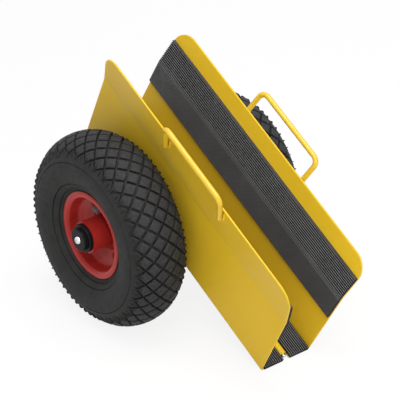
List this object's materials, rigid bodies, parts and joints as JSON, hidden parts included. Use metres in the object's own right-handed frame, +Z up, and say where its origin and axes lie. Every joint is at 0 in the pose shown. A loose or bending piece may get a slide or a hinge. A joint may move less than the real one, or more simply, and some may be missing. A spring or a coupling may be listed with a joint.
{
  "type": "panel dolly",
  "caption": "Two-wheeled self-clamping panel dolly: hinged bent side plates with ribbed rubber jaws, rod handles and pneumatic wheels, tipped onto its front edge.",
  "frame": {"origin": "on the floor, under the middle of the part's box", "axes": "+X to the right along the axles, +Y from the lowered front end to the rear, +Z up"},
  "size_m": [0.2928, 0.4397, 0.3456],
  "materials": {
    "yellow_paint": "gloss powder coat",
    "red_paint": "gloss paint",
    "pad_rubber": "fine ribbed, matt",
    "tyre_rubber": "moulded, matt",
    "tube_rubber": "smooth",
    "black_plastic": "gloss",
    "zinc_steel": "zinc plated",
    "bright_steel": "ground",
    "spring_steel": "oiled"
  },
  "bodies": {
    "left_half": {"left_side_plate": "yellow_paint", "left_grip_pad": "pad_rubber", "left_base_pad": "pad_rubber", "left_handle": "yellow_paint", "left_hinge_knuckles": "yellow_paint", "left_spring_lugs": "yellow_paint", "left_axle": "zinc_steel", "left_bearing_spacer": "zinc_steel", "left_bearing_inner_rings": "bright_steel", "left_axle_washer": "zinc_steel", "left_hub_cap": "black_plastic", "left_axle_screw": "bright_steel", "hinge_pin": "zinc_steel", "hinge_pin_clips": "spring_steel", "stop_saddles": "yellow_paint", "front_return_spring": "spring_steel", "rear_return_spring": "spring_steel"},
    "right_half": {"right_side_plate": "yellow_paint", "right_grip_pad": "pad_rubber", "right_base_pad": "pad_rubber", "right_handle": "yellow_paint", "right_hinge_knuckles": "yellow_paint", "right_spring_lugs": "yellow_paint", "right_axle": "zinc_steel", "right_bearing_spacer": "zinc_steel", "right_bearing_inner_rings": "bright_steel", "right_axle_washer": "zinc_steel", "right_hub_cap": "black_plastic", "right_axle_screw": "bright_steel"},
    "left_wheel": {"left_tyre": "tyre_rubber", "left_inner_tube": "tube_rubber", "left_outer_rim": "red_paint", "left_inner_rim": "red_paint", "left_hub_tube": "red_paint", "left_bearing_outer_rings": "bright_steel", "left_bearing_balls": "bright_steel", "left_valve_stem": "tube_rubber", "left_valve_cap": "black_plastic"},
    "right_wheel": {"right_tyre": "tyre_rubber", "right_inner_tube": "tube_rubber", "right_outer_rim": "red_paint", "right_inner_rim": "red_paint", "right_hub_tube": "red_paint", "right_bearing_outer_rings": "bright_steel", "right_bearing_balls": "bright_steel", "right_valve_stem": "tube_rubber", "right_valve_cap": "black_plastic"}
  },
  "joints": [
    {"name": "clamp_hinge", "type": "hinge", "parent": "left_half", "child": "right_half", "pos_m": [0, 0.08474, 0.13856], "axis": [0, -0.8557, -0.5175], "range_deg": [0, 37], "stiffness_Nm_per_rad": 4.5, "springref_deg": -51.57, "deforming": ["front_return_spring", "rear_return_spring"]},
    {"name": "left_wheel_spin", "type": "hinge", "parent": "left_half", "child": "left_wheel", "pos_m": [-0.095, 0.08991, 0.13], "axis": [1, 0, 0], "continuous": true},
    {"name": "right_wheel_spin", "type": "hinge", "parent": "right_half", "child": "right_wheel", "pos_m": [0.095, 0.08991, 0.13], "axis": [1, 0, 0], "continuous": true}
  ]
}
